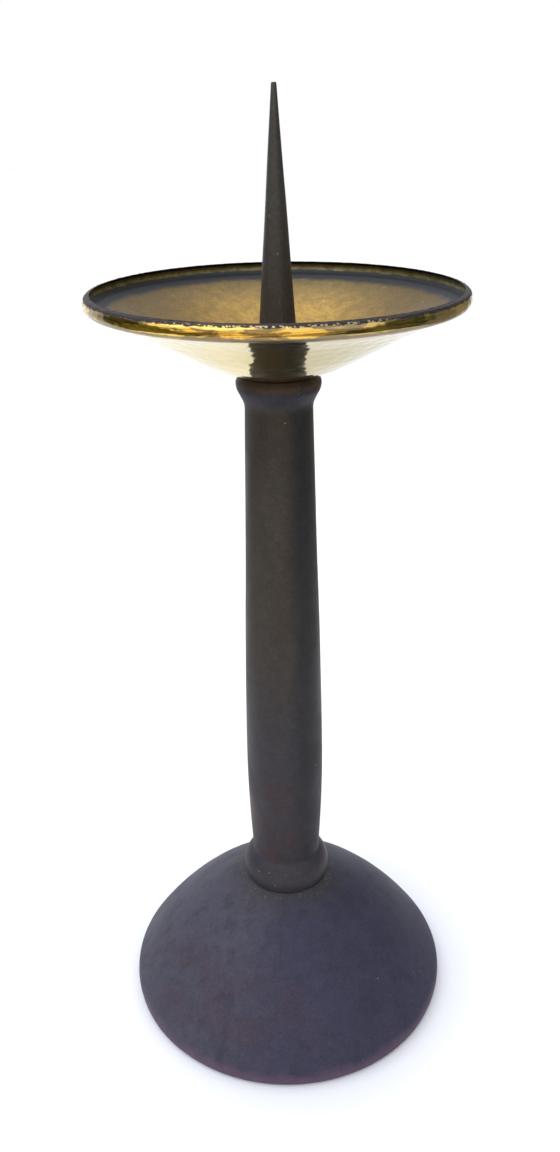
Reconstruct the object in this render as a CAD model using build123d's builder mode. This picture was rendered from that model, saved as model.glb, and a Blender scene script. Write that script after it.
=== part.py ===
from build123d import *
import os
from math import cos, hypot, radians, sin, sqrt, tan

# Altar candlestick, 462 mm tall: a hollow bronze foot, a flared bronze tube as stem, a hammered
# brass drip pan and a pricket that screws down over the pan onto the rod that ties it together.
# Millimetres, +Z up. The origin is the centre of the face that the candlestick stands on.

# ---- driving dimensions -------------------------------------------------------------------
total_height = 462.0
base_radius = 86.1
pan_radius = 83.2
pan_rim_height = 382.5

# base: a rounded edge that runs into one long arc up to the stem's seat
felt_thickness = 1.0
shoulder_radius = 11.7
shoulder_height = 4.85
shoulder_turn = 33.8
dome_radius = 180.2
base_wall = 3.0
rim_land = 5.4
seat_radius = 21.8
seat_wall = 4.0

# stem: an upset foot, a shaft with a swelling below the middle, a flared head
foot_radius = 22.9
foot_widest_above_seat = 5.8
crease_radius = 17.8
crease_above_seat = 16.3
belly = [(19.3, 118.0), (19.7, 148.0), (18.6, 210.0), (16.9, 270.0)]
neck_radius = 15.55
neck_height = 330.0
head_radius = 19.3
head_height = 341.6
head_arc_radius = 8.0
head_flare_angle = 27.4
head_shoulder = (19.2, 342.8)
head_lip = (18.65, 344.65)
head_top_radius = 17.1
stem_top = 345.3
stem_wall = 2.2
plug_length = 14.0

# drip pan: a flat seat, a sweep that is steepest in the middle, a rounded band that stands
# proud of the sweep
pan_sheet = 1.4
pan_seat_radius = 18.0
pan_floor_seat_radius = 17.7
pan_sweep = [(27.0, 348.7), (40.0, 355.3), (64.0, 368.5), (79.2, 375.3)]
pan_step = 1.0
pan_band_height = 378.6
pan_inner_bulge_height = 378.9
pan_lip_radius = 81.0

# pricket: a plain cone with a blunt point, hollow at the foot for the rod
spike_tip_radius = 1.13
spike_taper = 0.0728
spike_bore_depth = 17.0
drill_point_angle = 118.0

# M8 clamping parts
thread_radius = 3.95
tapped_radius = 4.0
clearance_radius = 4.3
rod_engagement = 15.0
load_plate_radius = 20.0
load_plate_thickness = 4.0
spring_washer_radius = 7.4
spring_washer_thickness = 2.0
spring_washer_gap = 1.2
spring_washer_slant = 20.0
nut_across_flats = 13.0
nut_height = 6.5
rod_below_nut = 4.0
spigot_radius = 10.0
spigot_clearance = 0.05
spigot_recess = 0.3
spike_washer_radius = 13.0
spike_washer_thickness = 1.5
edge_chamfer = 0.8
small_chamfer = 0.5

# ---- derived positions --------------------------------------------------------------------
shoulder_centre = (base_radius - shoulder_radius, shoulder_height)
dome_centre = (
    shoulder_centre[0] - (dome_radius - shoulder_radius) * cos(radians(shoulder_turn)),
    shoulder_centre[1] - (dome_radius - shoulder_radius) * sin(radians(shoulder_turn)),
)


def on_dome(arc_radius, r):
    """The point at radius r on an arc about the dome's centre."""
    return (r, dome_centre[1] + sqrt(arc_radius**2 - (r - dome_centre[0]) ** 2))


def dome_radius_at(arc_radius, z):
    """The radius at which an arc about the dome's centre passes the height z."""
    return dome_centre[0] + sqrt(arc_radius**2 - (z - dome_centre[1]) ** 2)


def on_shoulder(angle):
    """The point on the base's rounded edge at an angle above horizontal, in degrees."""
    return (
        shoulder_centre[0] + shoulder_radius * cos(radians(angle)),
        shoulder_centre[1] + shoulder_radius * sin(radians(angle)),
    )


rim_bottom = felt_thickness
rim_outer = shoulder_centre[0] + sqrt(shoulder_radius**2 - (shoulder_height - rim_bottom) ** 2)
rim_inner = rim_outer - rim_land
seat_height = on_dome(dome_radius, seat_radius)[1]
ceiling_height = seat_height - seat_wall
inner_dome = dome_radius - base_wall
ceiling_radius = dome_radius_at(inner_dome, ceiling_height)

load_plate_bottom = ceiling_height - load_plate_thickness
nut_top = load_plate_bottom - spring_washer_thickness
rod_bottom = nut_top - nut_height - rod_below_nut

pan_floor = stem_top + pan_sheet
spike_bottom = pan_floor + spike_washer_thickness
spike_foot_radius = spike_tip_radius + spike_taper * (total_height - spike_bottom)
rod_top = spike_bottom + rod_engagement

# ---- base ---------------------------------------------------------------------------------
# A cast shell, open below, with a thick rim and a flat seat for the stem at its top.
with BuildPart() as base_shell:
    with BuildSketch(Plane.XZ):
        with BuildLine():
            Line((rim_inner, rim_bottom), (rim_outer, rim_bottom))
            ThreePointArc(
                (rim_outer, rim_bottom),
                on_shoulder(shoulder_turn / 4),
                on_shoulder(shoulder_turn),
            )
            ThreePointArc(
                on_shoulder(shoulder_turn),
                on_dome(dome_radius, base_radius / 2),
                on_dome(dome_radius, seat_radius),
            )
            Polyline(
                (seat_radius, seat_height),
                (spigot_radius + spigot_clearance, seat_height),
                (spigot_radius + spigot_clearance, ceiling_height),
                (ceiling_radius, ceiling_height),
            )
            ThreePointArc(
                (ceiling_radius, ceiling_height),
                on_dome(inner_dome, base_radius / 2),
                on_dome(inner_dome, rim_inner),
            )
            Line(on_dome(inner_dome, rim_inner), (rim_inner, rim_bottom))
        make_face()
    revolve(axis=Axis.Z)
base_shell.part.label = "base_shell"

# Felt glued under the rim, set in a little from both of its edges.
felt_inset = 0.7
with BuildPart() as felt_ring:
    with BuildSketch():
        Circle(rim_outer - felt_inset)
        Circle(rim_inner + felt_inset, mode=Mode.SUBTRACT)
    extrude(amount=felt_thickness)
felt_ring.part.label = "felt_ring"

# ---- stem ---------------------------------------------------------------------------------
foot_height = seat_height + foot_widest_above_seat
crease_height = seat_height + crease_above_seat
foot_out = foot_radius - crease_radius
foot_up = crease_height - foot_height
foot_arc_radius = (foot_out**2 + foot_up**2) / (2 * foot_out)
foot_arc_centre = foot_radius - foot_arc_radius
foot_bottom_radius = foot_arc_centre + sqrt(foot_arc_radius**2 - foot_widest_above_seat**2)

head_arc_centre = head_radius - head_arc_radius
head_arc_start = (
    head_arc_centre + head_arc_radius * cos(radians(head_flare_angle)),
    head_height - head_arc_radius * sin(radians(head_flare_angle)),
)
flare_foot = (
    neck_radius,
    head_arc_start[1] - (head_arc_start[0] - neck_radius) / tan(radians(head_flare_angle)),
)

plug_bore_low = crease_radius - stem_wall
plug_bore_high = neck_radius - stem_wall
crease = (crease_radius, crease_height)
neck = (neck_radius, neck_height)

with BuildPart() as stem_tube:
    with BuildSketch(Plane.XZ):
        with BuildLine():
            ThreePointArc((foot_bottom_radius, seat_height), (foot_radius, foot_height), crease)
            Spline(crease, *belly, neck)
            Polyline(neck, flare_foot, head_arc_start)
            ThreePointArc(head_arc_start, (head_radius, head_height), head_shoulder)
            ThreePointArc(head_shoulder, head_lip, (head_top_radius, stem_top))
            Polyline(
                (head_top_radius, stem_top),
                (plug_bore_high, stem_top),
                (plug_bore_high, neck_height),
            )
            Spline(
                (plug_bore_high, neck_height),
                *[(r - stem_wall, z) for r, z in reversed(belly)],
                (plug_bore_low, crease_height),
            )
            Polyline(
                (plug_bore_low, crease_height),
                (plug_bore_low, seat_height),
                (foot_bottom_radius, seat_height),
            )
        make_face()
    revolve(axis=Axis.Z)
stem_tube.part.label = "stem_tube"

# Brazed into the stem's foot: its spigot centres the stem in the base.
with BuildPart() as foot_plug:
    with BuildSketch(Plane.XY.offset(seat_height)):
        Circle(plug_bore_low)
        Circle(clearance_radius, mode=Mode.SUBTRACT)
    extrude(amount=plug_length)
    with BuildSketch(Plane.XY.offset(seat_height)):
        Circle(spigot_radius)
        Circle(clearance_radius, mode=Mode.SUBTRACT)
    extrude(amount=-(seat_wall - spigot_recess))
    lowest_rings = foot_plug.edges().filter_by(GeomType.CIRCLE).group_by(Axis.Z)[0]
    chamfer(lowest_rings.sort_by(SortBy.RADIUS)[-1], small_chamfer)
foot_plug.part.label = "foot_plug"

# Brazed into the stem's head and tapped for the rod.
with BuildPart() as head_plug:
    with BuildSketch(Plane.XY.offset(stem_top - plug_length)):
        Circle(plug_bore_high)
        Circle(tapped_radius, mode=Mode.SUBTRACT)
    extrude(amount=plug_length)
head_plug.part.label = "head_plug"

# ---- clamping parts -----------------------------------------------------------------------
# The rod runs from under the base, through the stem, to inside the pricket's foot.
with BuildPart() as tie_rod:
    with BuildSketch(Plane.XY.offset(rod_bottom)):
        Circle(thread_radius)
    extrude(amount=rod_top - rod_bottom)
    chamfer(tie_rod.edges().filter_by(GeomType.CIRCLE), edge_chamfer)
tie_rod.part.label = "tie_rod"

with BuildPart() as load_plate:
    with BuildSketch(Plane.XY.offset(load_plate_bottom)):
        Circle(load_plate_radius)
        Circle(clearance_radius, mode=Mode.SUBTRACT)
    extrude(amount=load_plate_thickness)
    chamfer(load_plate.edges().group_by(Axis.Z)[0].sort_by(SortBy.RADIUS)[-1], edge_chamfer)
load_plate.part.label = "load_plate"

# Split spring washer, drawn flat as it lies when tightened.
with BuildPart() as spring_washer:
    with BuildSketch(Plane.XY.offset(nut_top)):
        Circle(spring_washer_radius)
        Circle(clearance_radius, mode=Mode.SUBTRACT)
        with Locations((spring_washer_radius, 0)):
            Rectangle(
                spring_washer_radius,
                spring_washer_gap,
                rotation=spring_washer_slant,
                mode=Mode.SUBTRACT,
            )
    extrude(amount=spring_washer_thickness)
spring_washer.part.label = "spring_washer"

with BuildPart() as hex_nut:
    with BuildSketch(Plane.XY.offset(nut_top - nut_height)):
        RegularPolygon(nut_across_flats / 2, 6, major_radius=False)
        Circle(tapped_radius, mode=Mode.SUBTRACT)
    extrude(amount=nut_height)
hex_nut.part.label = "hex_nut"

# ---- drip pan -----------------------------------------------------------------------------
def lifted(points, distance):
    """The same points, each moved up squarely from the line through its neighbours."""
    moved = []
    for before, point, after in zip(points[:1] + points[:-1], points, points[1:] + points[-1:]):
        run, rise = after[0] - before[0], after[1] - before[1]
        length = hypot(run, rise)
        moved.append((point[0] - distance * rise / length, point[1] + distance * run / length))
    return moved


underside = [(pan_seat_radius, stem_top), *pan_sweep]
floor_edge = (pan_floor_seat_radius, pan_floor)
floor = [floor_edge, *lifted(underside, pan_sheet)[1:]]
step_corner = (pan_sweep[-1][0] + pan_step, pan_sweep[-1][1])
lip_inner = pan_lip_radius - pan_sheet
with BuildPart() as drip_pan:
    with BuildSketch(Plane.XZ):
        with BuildLine():
            Line((clearance_radius, stem_top), underside[0])
            Spline(*underside)
            Line(underside[-1], step_corner)
            ThreePointArc(step_corner, (pan_radius, pan_band_height), (pan_lip_radius, pan_rim_height))
            Line((pan_lip_radius, pan_rim_height), (lip_inner, pan_rim_height))
            inner_bulge = (pan_radius - pan_sheet, pan_inner_bulge_height)
            ThreePointArc((lip_inner, pan_rim_height), inner_bulge, floor[-1])
            Spline(*reversed(floor))
            Polyline(floor_edge, (clearance_radius, pan_floor), (clearance_radius, stem_top))
        make_face()
    revolve(axis=Axis.Z)
drip_pan.part.label = "drip_pan"

# ---- pricket ------------------------------------------------------------------------------
with BuildPart() as spike_washer:
    with BuildSketch(Plane.XY.offset(pan_floor)):
        Circle(spike_washer_radius)
        Circle(clearance_radius, mode=Mode.SUBTRACT)
    extrude(amount=spike_washer_thickness)
    chamfer(spike_washer.edges().group_by(Axis.Z)[-1].sort_by(SortBy.RADIUS)[-1], small_chamfer)
spike_washer.part.label = "spike_washer"

# The cone's blind hole is tapped for the rod; a drill point closes it.
drill_point = tapped_radius / tan(radians(drill_point_angle / 2))
with BuildPart() as spike:
    with BuildSketch(Plane.XZ):
        with BuildLine():
            Polyline(
                (tapped_radius, spike_bottom),
                (spike_foot_radius, spike_bottom),
                (spike_tip_radius, total_height),
                (0, total_height),
                (0, spike_bottom + spike_bore_depth + drill_point),
                (tapped_radius, spike_bottom + spike_bore_depth),
                close=True,
            )
        make_face()
    revolve(axis=Axis.Z)
spike.part.label = "spike"

# ---- output -------------------------------------------------------------------------------
pieces = [
    base_shell,
    felt_ring,
    stem_tube,
    foot_plug,
    head_plug,
    tie_rod,
    load_plate,
    spring_washer,
    hex_nut,
    drip_pan,
    spike_washer,
    spike,
]
os.makedirs("parts", exist_ok=True)
for piece in pieces:
    export_step(piece.part, f"parts/{piece.part.label}.step")
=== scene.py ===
import random
from math import ceil, cos, hypot, pi, radians, sin, sqrt, tan

import bmesh
import bpy
import numpy as np
from mathutils import Matrix, Vector, kdtree, noise


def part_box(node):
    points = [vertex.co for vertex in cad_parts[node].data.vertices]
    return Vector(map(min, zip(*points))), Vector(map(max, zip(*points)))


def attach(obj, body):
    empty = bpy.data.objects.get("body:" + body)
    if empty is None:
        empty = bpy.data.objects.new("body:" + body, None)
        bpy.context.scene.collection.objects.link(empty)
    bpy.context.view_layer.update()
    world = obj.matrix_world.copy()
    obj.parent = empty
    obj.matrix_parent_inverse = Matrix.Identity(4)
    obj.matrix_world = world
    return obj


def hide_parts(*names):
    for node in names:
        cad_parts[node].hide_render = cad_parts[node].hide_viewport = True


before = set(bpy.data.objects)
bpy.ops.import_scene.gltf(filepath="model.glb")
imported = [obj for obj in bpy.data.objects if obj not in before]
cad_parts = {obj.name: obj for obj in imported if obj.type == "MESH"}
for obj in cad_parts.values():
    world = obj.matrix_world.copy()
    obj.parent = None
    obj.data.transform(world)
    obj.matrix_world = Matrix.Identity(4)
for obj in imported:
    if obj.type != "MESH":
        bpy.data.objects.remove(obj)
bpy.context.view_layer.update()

# Altar candlestick. Profiles are drawn in millimetres as (radius, height) with the solid on
# the left of the line, and turned into meshes in metres about the Z axis.
MM = 0.001
TINY = 1e-6
TOUCHING = 1e-4
# A rounded corner is drawn in this many steps.
CORNER_STEPS = 6


def size_of(node):
    """(radius, bottom, top) of a round CAD node, in millimetres."""
    low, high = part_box(node)
    return high[0] / MM, low[2] / MM, high[2] / MM


# ---- profiles ----
def line_points(a, b, step):
    count = max(1, ceil(hypot(b[0] - a[0], b[1] - a[1]) / step))
    return [(a[0] + (b[0] - a[0]) * i / count, a[1] + (b[1] - a[1]) * i / count) for i in range(count + 1)]


def arc_points(a, mid, b, step):
    """Points on the circle through a, mid and b, from a to b."""
    ax, ay = a[0] - mid[0], a[1] - mid[1]
    bx, by = b[0] - mid[0], b[1] - mid[1]
    cross = 2 * (ax * by - ay * bx)
    ux = (by * (ax * ax + ay * ay) - ay * (bx * bx + by * by)) / cross
    uy = (ax * (bx * bx + by * by) - bx * (ax * ax + ay * ay)) / cross
    centre = (mid[0] + ux, mid[1] + uy)
    radius = hypot(ux, uy)
    start, half, end = (np.arctan2(y - centre[1], x - centre[0]) for x, y in (a, mid, b))
    turn, half = (end - start) % (2 * pi), (half - start) % (2 * pi)
    if half > turn:
        turn -= 2 * pi
    count = max(3, ceil(abs(turn) * radius / step))
    angles = [start + turn * i / count for i in range(count + 1)]
    return [(centre[0] + radius * cos(t), centre[1] + radius * sin(t)) for t in angles]


def curve_points(points, step):
    """A smooth line through all the points."""
    p = [np.array(q, float) for q in points]
    p = [2 * p[0] - p[1], *p, 2 * p[-1] - p[-2]]
    out = [tuple(p[1])]
    for i in range(1, len(p) - 2):
        count = max(2, ceil(np.linalg.norm(p[i + 1] - p[i]) / step))
        knots = [0.0]
        for a, b in zip(p[i - 1 : i + 2], p[i : i + 3]):
            knots.append(knots[-1] + np.linalg.norm(b - a))
        m1 = (p[i + 1] - p[i - 1]) / (knots[2] - knots[0])
        m2 = (p[i + 2] - p[i]) / (knots[3] - knots[1])
        span = knots[2] - knots[1]
        for k in range(1, count + 1):
            t = k / count
            leaving = (2 * t**3 - 3 * t**2 + 1) * p[i] + (t**3 - 2 * t**2 + t) * span * m1
            arriving = (3 * t**2 - 2 * t**3) * p[i + 1] + (t**3 - t**2) * span * m2
            out.append(tuple(leaving + arriving))
    return out


def trimmed(points, start, end):
    """The stretch of a line of points that leaves out the given lengths at its two ends."""
    p = np.array(points)
    along = np.concatenate([[0], np.cumsum(np.hypot(*np.diff(p, axis=0).T))])
    keep = [s for s in along if start + TINY < s < along[-1] - end - TINY]
    stops = [start, *keep, along[-1] - end]
    return [(np.interp(s, along, p[:, 0]), np.interp(s, along, p[:, 1])) for s in stops]


class Profile:
    """A closed turned profile. Each stretch has a zone number, which the materials read."""

    def __init__(self, r, z, step=1.0):
        self.step = step
        self.start = self.end = (r, z)
        self.stretches = []

    def add(self, points, soft, zone):
        self.stretches.append((points, soft, zone))
        self.end = points[-1]

    def line(self, r, z, soft=0.0, zone=0.0, step=None):
        self.add(line_points(self.end, (r, z), step or self.step), soft, zone)

    def arc(self, mid, end, soft=0.0, zone=0.0, step=None):
        self.add(arc_points(self.end, mid, end, step or self.step), soft, zone)

    def curve(self, points, soft=0.0, zone=0.0, step=None):
        self.add(curve_points([self.end, *points], step or self.step), soft, zone)

    def close(self, soft=0.0, zone=0.0, step=None):
        """Back to the start. soft is the radius of the corner there."""
        self.line(*self.start, soft, zone, step)

    def rows(self):
        """Arrays of radius, height, zone and length along the line, with the soft corners rounded."""
        rows = []
        for i, (points, soft, zone) in enumerate(self.stretches):
            before = self.stretches[i - 1][1]
            kept = trimmed(points, before, soft)
            rows += [(r, z, zone) for r, z in (kept if before or not rows else kept[1:])]
            if soft:
                following, after, next_zone = self.stretches[(i + 1) % len(self.stretches)]
                a, corner, b = kept[-1], points[-1], trimmed(following, soft, after)[0]
                for k in range(1, CORNER_STEPS):
                    t = k / CORNER_STEPS
                    weights = ((1 - t) ** 2, 2 * t * (1 - t), t**2)
                    r, z = np.dot(weights, (a, corner, b))
                    rows.append((r, z, zone + (next_zone - zone) * t))
        if hypot(rows[0][0] - rows[-1][0], rows[0][1] - rows[-1][1]) < TOUCHING:
            rows.pop()
        r, z, zone = np.array(rows).T
        along = np.concatenate([[0], np.cumsum(np.hypot(np.diff(r), np.diff(z)))])
        return r, z, zone, along


# ---- meshes ----
def placed(name, data):
    """A new object of that mesh, lamp or camera, in the scene."""
    piece = bpy.data.objects.new(name, data)
    bpy.context.collection.objects.link(piece)
    return piece


def grid_mesh(name, points, zones):
    """A mesh from points[row, column], in millimetres, whose columns run round the Z axis.
    The last row joins the first. A row on the axis becomes one point. Materials read the zones."""
    count, columns = points.shape[:2]
    index = np.arange(count * columns).reshape(count, columns)
    poles = [i for i in range(count) if np.hypot(points[i, :, 0], points[i, :, 1]).max() < TINY]
    for i in poles:
        index[i, :] = index[i, 0]
    faces = []
    for i in range(count):
        low, high = index[i], index[(i + 1) % count]
        if i in poles and (i + 1) % count in poles:
            continue
        for j in range(columns):
            k = (j + 1) % columns
            corners = [low[j], low[k], high[k], high[j]]
            faces.append([int(c) for n, c in enumerate(corners) if c not in corners[:n]])
    used = np.unique(index)
    renumber = {int(old): new for new, old in enumerate(used)}
    mesh = bpy.data.meshes.new(name)
    flat = points.reshape(-1, 3)[used] * MM
    mesh.from_pydata(flat.tolist(), [], [[renumber[c] for c in face] for face in faces])
    layer = mesh.attributes.new("zone", "FLOAT", "POINT")
    layer.data.foreach_set("value", zones.astype(np.float32).reshape(-1)[used])
    smooth_edges(mesh)
    return placed(name, mesh)


def smooth_edges(mesh, sharp=38):
    """Smooth shading, with the edges sharper than that angle left crisp."""
    bm = bmesh.new()
    bm.from_mesh(mesh)
    for face in bm.faces:
        face.smooth = True
    for edge in bm.edges:
        edge.smooth = edge.calc_face_angle(0.0) < radians(sharp)
    bm.to_mesh(mesh)
    bm.free()


def outward(r, z):
    """The outward direction at each point of a closed profile."""
    dr = np.roll(r, -1) - np.roll(r, 1)
    dz = np.roll(z, -1) - np.roll(z, 1)
    length = np.hypot(dr, dz) + 1e-9
    return dz / length, -dr / length


def turned(name, profile, columns, relief=None, shape=None):
    """Turns a profile about Z. relief(r, z, zone, along, angle) moves the surface outwards by
    that many millimetres; shape(r, z, angle) gives other radii and heights."""
    r, z, zone, along = profile.rows()
    angle = np.arange(columns) * 2 * pi / columns
    rr, zz, zones, lengths = (np.repeat(row[:, None], columns, axis=1) for row in (r, z, zone, along))
    tt = np.repeat(angle[None, :], len(r), axis=0)
    if shape:
        rr, zz = shape(rr, zz, tt)
    if relief:
        out_r, out_z = outward(r, z)
        lift = relief(rr, zz, zones, lengths, tt)
        on_axis = rr < TINY
        zz = zz + lift * out_z[:, None]
        rr = np.where(on_axis, 0.0, rr + lift * out_r[:, None])
    points = np.stack([rr * np.cos(tt), rr * np.sin(tt), zz], axis=-1)
    return grid_mesh(name, points, zones)


def rough(r, z, angle, scale, seed):
    """Smooth noise from -1 to 1 over a turned surface, with features of about scale millimetres."""
    x, y = r * np.cos(angle) / scale, r * np.sin(angle) / scale
    shift = Vector((seed * 7.3, seed * 3.1, seed * 5.7))
    flat = [
        noise.noise(Vector((a, b, c)) + shift)
        for a, b, c in zip(x.ravel(), y.ravel(), (z / scale).ravel())
    ]
    return np.array(flat).reshape(x.shape)


def hammer_marks(r, z, along, angle, first, last, pitch, depth, seed):
    """Relief of the overlapping marks that a planishing hammer leaves in rings between two
    lengths along the profile: each is a shallow dish, and they meet in low ridges."""
    jitter = 0.22
    unevenness = 0.35
    ridge = 1.3
    reach = pitch * 0.62
    rng = random.Random(seed)
    row_along, row_r, row_z = along[:, 0], r[:, 0], z[:, 0]
    centres = []
    rings = max(1, round((last - first) / pitch))
    for ring in range(rings):
        at = first + (ring + 0.5) * (last - first) / rings
        ring_r = np.interp(at, row_along, row_r)
        count = max(5, round(2 * pi * ring_r / pitch))
        start = rng.random()
        for k in range(count):
            turn = 2 * pi * (k + start + rng.uniform(-jitter, jitter)) / count
            here = at + rng.uniform(-jitter, jitter) * pitch
            mark_r, mark_z = np.interp(here, row_along, row_r), np.interp(here, row_along, row_z)
            centres.append((mark_r * cos(turn), mark_r * sin(turn), mark_z, rng.uniform(0, unevenness)))
    tree = kdtree.KDTree(len(centres))
    for k, centre in enumerate(centres):
        tree.insert(centre[:3], k)
    tree.balance()
    lift = np.zeros(r.shape)
    inside = (row_along > first - pitch / 2) & (row_along < last + pitch / 2)
    for i in np.nonzero(inside)[0]:
        for j in range(r.shape[1]):
            here = (r[i, j] * cos(angle[i, j]), r[i, j] * sin(angle[i, j]), z[i, j])
            dish = min(
                (distance / reach) ** 2 + centres[k][3] for _, k, distance in tree.find_n(here, 3)
            )
            lift[i, j] = depth * (min(dish, ridge) - ridge)
    starting = np.clip((row_along - first) / pitch + 0.5, 0, 1)
    ending = np.clip((last - row_along) / pitch + 0.5, 0, 1)
    return lift * (starting * ending)[:, None]


def finish_piece(piece, body, node, material):
    """Puts a piece on its body in place of one CAD node, with its material."""
    piece.data.materials.append(material)
    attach(piece, body)
    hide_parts(node)


# ---- material building ----
def set_inputs(node, **constants):
    """Sets a node's inputs to constants. A space in an input's name is written as _."""
    for socket, value in constants.items():
        node.inputs[socket.replace("_", " ")].default_value = value


class Graph:
    """Short names for building a node tree."""

    def __init__(self, tree, place):
        self.tree = tree
        self.place = self.node("TexCoord").outputs[place]

    def node(self, kind, **settings):
        made = self.tree.nodes.new("ShaderNode" + kind)
        for key, value in settings.items():
            setattr(made, key, value)
        return made

    def feed(self, socket, value):
        if isinstance(value, bpy.types.NodeSocket):
            self.tree.links.new(value, socket)
        elif isinstance(value, (tuple, list)) and socket.type == "RGBA":
            socket.default_value = (*value, 1.0)
        else:
            socket.default_value = value

    def math(self, operation, *values, clamp=False):
        made = self.node("Math", operation=operation, use_clamp=clamp)
        for socket, value in zip(made.inputs, values):
            self.feed(socket, value)
        return made.outputs[0]

    def product(self, first, *others):
        for other in others:
            first = self.math("MULTIPLY", first, other)
        return first

    def mix(self, factor, a, b, blend="MIX"):
        """Colour a turning into colour b. The node keeps its colours in sockets 6 and 7."""
        made = self.node("Mix", data_type="RGBA", blend_type=blend)
        for socket, value in zip((made.inputs[0], made.inputs[6], made.inputs[7]), (factor, a, b)):
            self.feed(socket, value)
        return made.outputs[2]

    def layered(self, colour, layers):
        """The colour with the colour of each (mask, colour) laid over it in turn."""
        for mask, laid in layers:
            colour = self.mix(mask, colour, laid)
        return colour

    def blend(self, factor, a, b):
        """Number a turning into number b."""
        made = self.node("Mix", data_type="FLOAT")
        for socket, value in zip((made.inputs[0], made.inputs[2], made.inputs[3]), (factor, a, b)):
            self.feed(socket, value)
        return made.outputs[0]

    def fade(self, value, low, high, out_low=0.0, out_high=1.0):
        """A smooth step from out_low at low to out_high at high."""
        made = self.node("MapRange", interpolation_type="SMOOTHSTEP")
        for socket, number in zip(made.inputs, (value, low, high, out_low, out_high)):
            self.feed(socket, number)
        return made.outputs[0]

    def between(self, value, low, high, soft):
        """1 between low and high, fading to 0 over a length soft at both ends."""
        rise = self.fade(value, low - soft / 2, low + soft / 2)
        return self.product(rise, self.fade(value, high + soft / 2, high - soft / 2))

    def wander(self, value, waves, reach):
        """The value, moved up and down by waves from 0 to 1 over a whole span of reach."""
        return self.math("ADD", value, self.product(self.math("SUBTRACT", waves, 0.5), reach))

    def axes(self):
        split = self.node("SeparateXYZ")
        self.feed(split.inputs[0], self.place)
        return split.outputs

    def noise(self, size, detail=3.0, roughness=0.55, stretch=(1, 1, 1), offset=(0, 0, 0), distortion=0.0):
        """Noise with features of about size metres, longer where stretch is over 1."""
        mapping = self.node("Mapping")
        self.feed(mapping.inputs["Vector"], self.place)
        set_inputs(mapping, Location=offset, Scale=[1 / (size * s) for s in stretch])
        made = self.node("TexNoise")
        set_inputs(made, Scale=1.0, Detail=detail, Roughness=roughness, Distortion=distortion)
        self.feed(made.inputs["Vector"], mapping.outputs[0])
        return made.outputs["Fac"]


class Shader(Graph):
    """A material with one Principled shader. Its lengths are in millimetres."""

    def __init__(self, name, **constants):
        self.material = bpy.data.materials.new(name)
        self.material.use_nodes = True
        super().__init__(self.material.node_tree, "Object")
        self.surface = next(n for n in self.tree.nodes if n.type == "BSDF_PRINCIPLED")
        set_inputs(self.surface, **constants)

    def set(self, socket, value):
        self.feed(self.surface.inputs[socket], value)

    def grain(self, size, *args, **settings):
        """Noise with features of about size millimetres."""
        return self.noise(size * MM, *args, **settings)

    def cells(self, size):
        """Distance, in cell sizes, to the nearest of scattered points about size apart."""
        made = self.node("TexVoronoi", feature="F1")
        set_inputs(made, Scale=1 / (size * MM))
        self.feed(made.inputs["Vector"], self.place)
        return made.outputs["Distance"]

    def dots(self, spacing, edge, core, clouds, low, high):
        """Dots where the clouds are over low to high. A dot begins at a radius of edge and is
        full at core, both in spacings."""
        return self.product(self.fade(self.cells(spacing), edge, core), self.fade(clouds, low, high))

    def height(self):
        return self.math("DIVIDE", self.axes()[2], MM)

    def radius(self):
        """Distance from the Z axis."""
        flat = self.node("VectorMath", operation="MULTIPLY")
        self.feed(flat.inputs[0], self.place)
        flat.inputs[1].default_value = (1 / MM, 1 / MM, 0)
        length = self.node("VectorMath", operation="LENGTH")
        self.feed(length.inputs[0], flat.outputs[0])
        return length.outputs["Value"]

    def facing(self, degrees):
        """From 1 on the side of the object at that angle about Z, to -1 on the other side."""
        x, y, _ = self.axes()
        turn = radians(degrees)
        way = self.math("ADD", self.product(x, cos(turn)), self.product(y, sin(turn)))
        never_zero = self.math("ADD", self.radius(), 0.01)
        return self.math("DIVIDE", self.math("DIVIDE", way, MM), never_zero)

    def bump(self, height, depth, normal=None):
        """Bump of that many millimetres for a height from 0 to 1."""
        made = self.node("Bump")
        set_inputs(made, Strength=1.0, Distance=depth * MM)
        self.feed(made.inputs["Height"], height)
        if normal is not None:
            self.feed(made.inputs["Normal"], normal)
        return made.outputs[0]


def patina_and_shade(name, dark, pale, layers, roughness):
    """Chemically darkened bronze: clouds of two tones, then layers of (mask, colour), where a
    mask is a function of the shader and some layers are painted light and shade, then a fine
    grain, pores and a few rubbed specks."""
    s = Shader(name, Metallic=0.1, Specular_IOR_Level=0.2)
    clouds = s.fade(s.grain(24, 4, 0.6, stretch=(1, 1, 1.8), distortion=0.4), 0.35, 0.68)
    colour = s.layered(s.mix(clouds, dark, pale), [(mask(s), laid) for mask, laid in layers])
    fine = s.grain(1.1, 3, 0.7, offset=(4, 2, 1))
    mottle = s.grain(5, 4, 0.65, offset=(7, 1, 3))
    shade = s.product(s.fade(fine, 0.25, 0.75, 0.74, 1.0), s.fade(mottle, 0.3, 0.7, 0.86, 1.0))
    colour = s.mix(1.0, colour, shade, "MULTIPLY")
    pores = s.dots(2.6, 0.16, 0.05, s.grain(9, 2, offset=(3, 3, 3)), 0.58, 0.66)
    specks = s.dots(4.6, 0.07, 0.04, s.grain(14, 1, offset=(1, 8, 2)), 0.60, 0.64)
    pore_colour = tuple(c * 0.35 for c in dark)
    marks = [(s.product(pores, 0.75), pore_colour), (s.product(specks, 0.7), (0.40, 0.38, 0.38))]
    s.set("Base Color", s.layered(colour, marks))
    sheen = s.fade(clouds, 0, 1, roughness - 0.05, roughness + 0.07)
    s.set("Roughness", s.math("ADD", sheen, s.product(fine, 0.06)))
    normal = s.bump(s.grain(5.5, 3, 0.5, offset=(6, 6, 0)), 0.12)
    normal = s.bump(fine, 0.045, normal)
    s.set("Normal", s.bump(s.math("SUBTRACT", 1.0, pores), 0.08, normal))
    return s.material
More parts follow.
